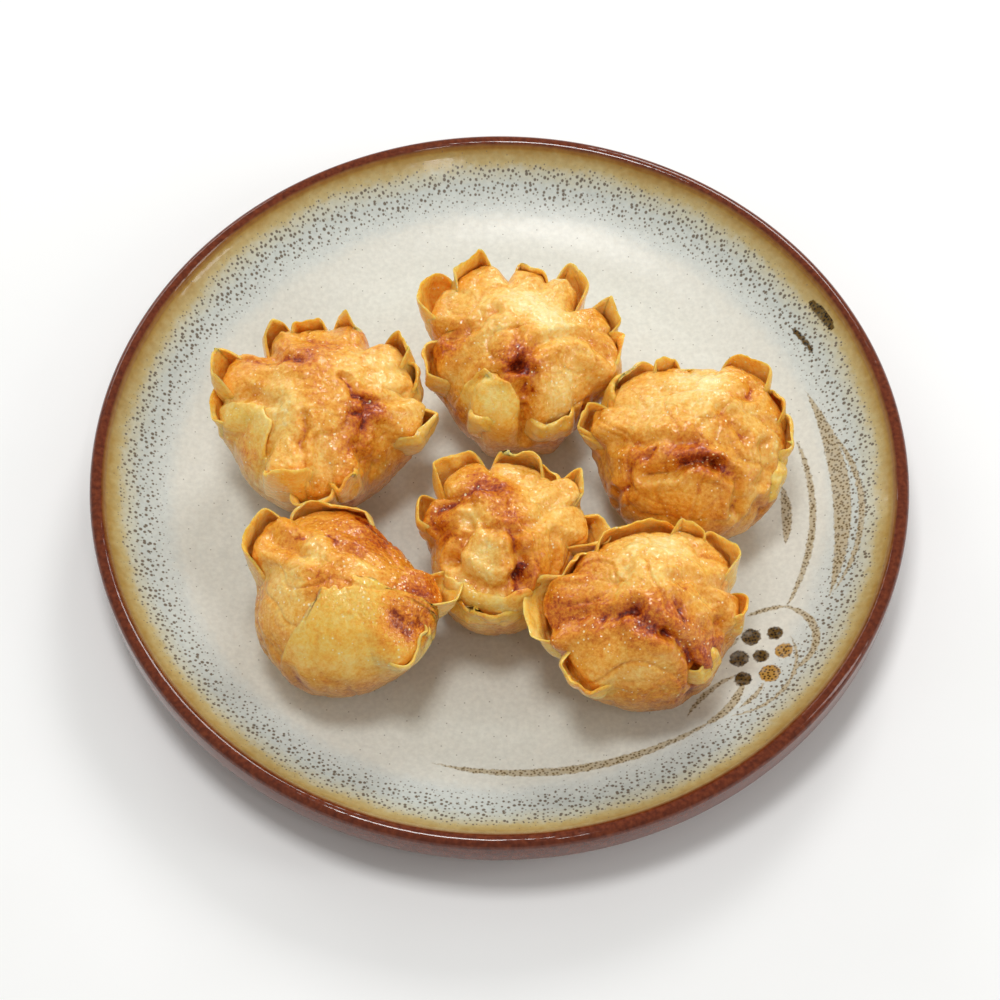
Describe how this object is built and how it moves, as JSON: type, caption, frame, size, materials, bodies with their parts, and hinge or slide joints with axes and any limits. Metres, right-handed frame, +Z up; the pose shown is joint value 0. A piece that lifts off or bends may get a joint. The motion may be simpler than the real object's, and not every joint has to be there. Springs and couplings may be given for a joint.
{
  "type": "siu mai dumplings on a plate",
  "caption": "Fried siu mai dumplings, each a stuffed ball in a thin frilled wrapper, served on a round stoneware side plate with a rolled lip.",
  "frame": {"origin": "middle of the plate's flat foot, on the surface it stands on", "axes": "+Z up; -Y towards the eater, where the plate's floor is left free; +X to the right, where the plate's decoration is"},
  "size_m": [0.19, 0.19, 0.0455],
  "materials": {
    "stoneware_glaze": "glossy speckled glaze with a brown lip and brushed decoration",
    "fried_wrapper": "thin crisp fried dough sheet, golden, translucent at the edge and lightly oily",
    "fried_skin": "dough skin fried onto the filling, golden with orange-brown patches, blistered and oily"
  },
  "bodies": {
    "root": {"plate": "stoneware_glaze", "stuffed_ball_1": "fried_skin", "frilled_wrapper_1": "fried_wrapper", "stuffed_ball_2": "fried_skin", "frilled_wrapper_2": "fried_wrapper", "stuffed_ball_3": "fried_skin", "frilled_wrapper_3": "fried_wrapper", "stuffed_ball_4": "fried_skin", "frilled_wrapper_4": "fried_wrapper", "stuffed_ball_5": "fried_skin", "frilled_wrapper_5": "fried_wrapper", "stuffed_ball_6": "fried_skin", "frilled_wrapper_6": "fried_wrapper"}
  },
  "joints": []
}
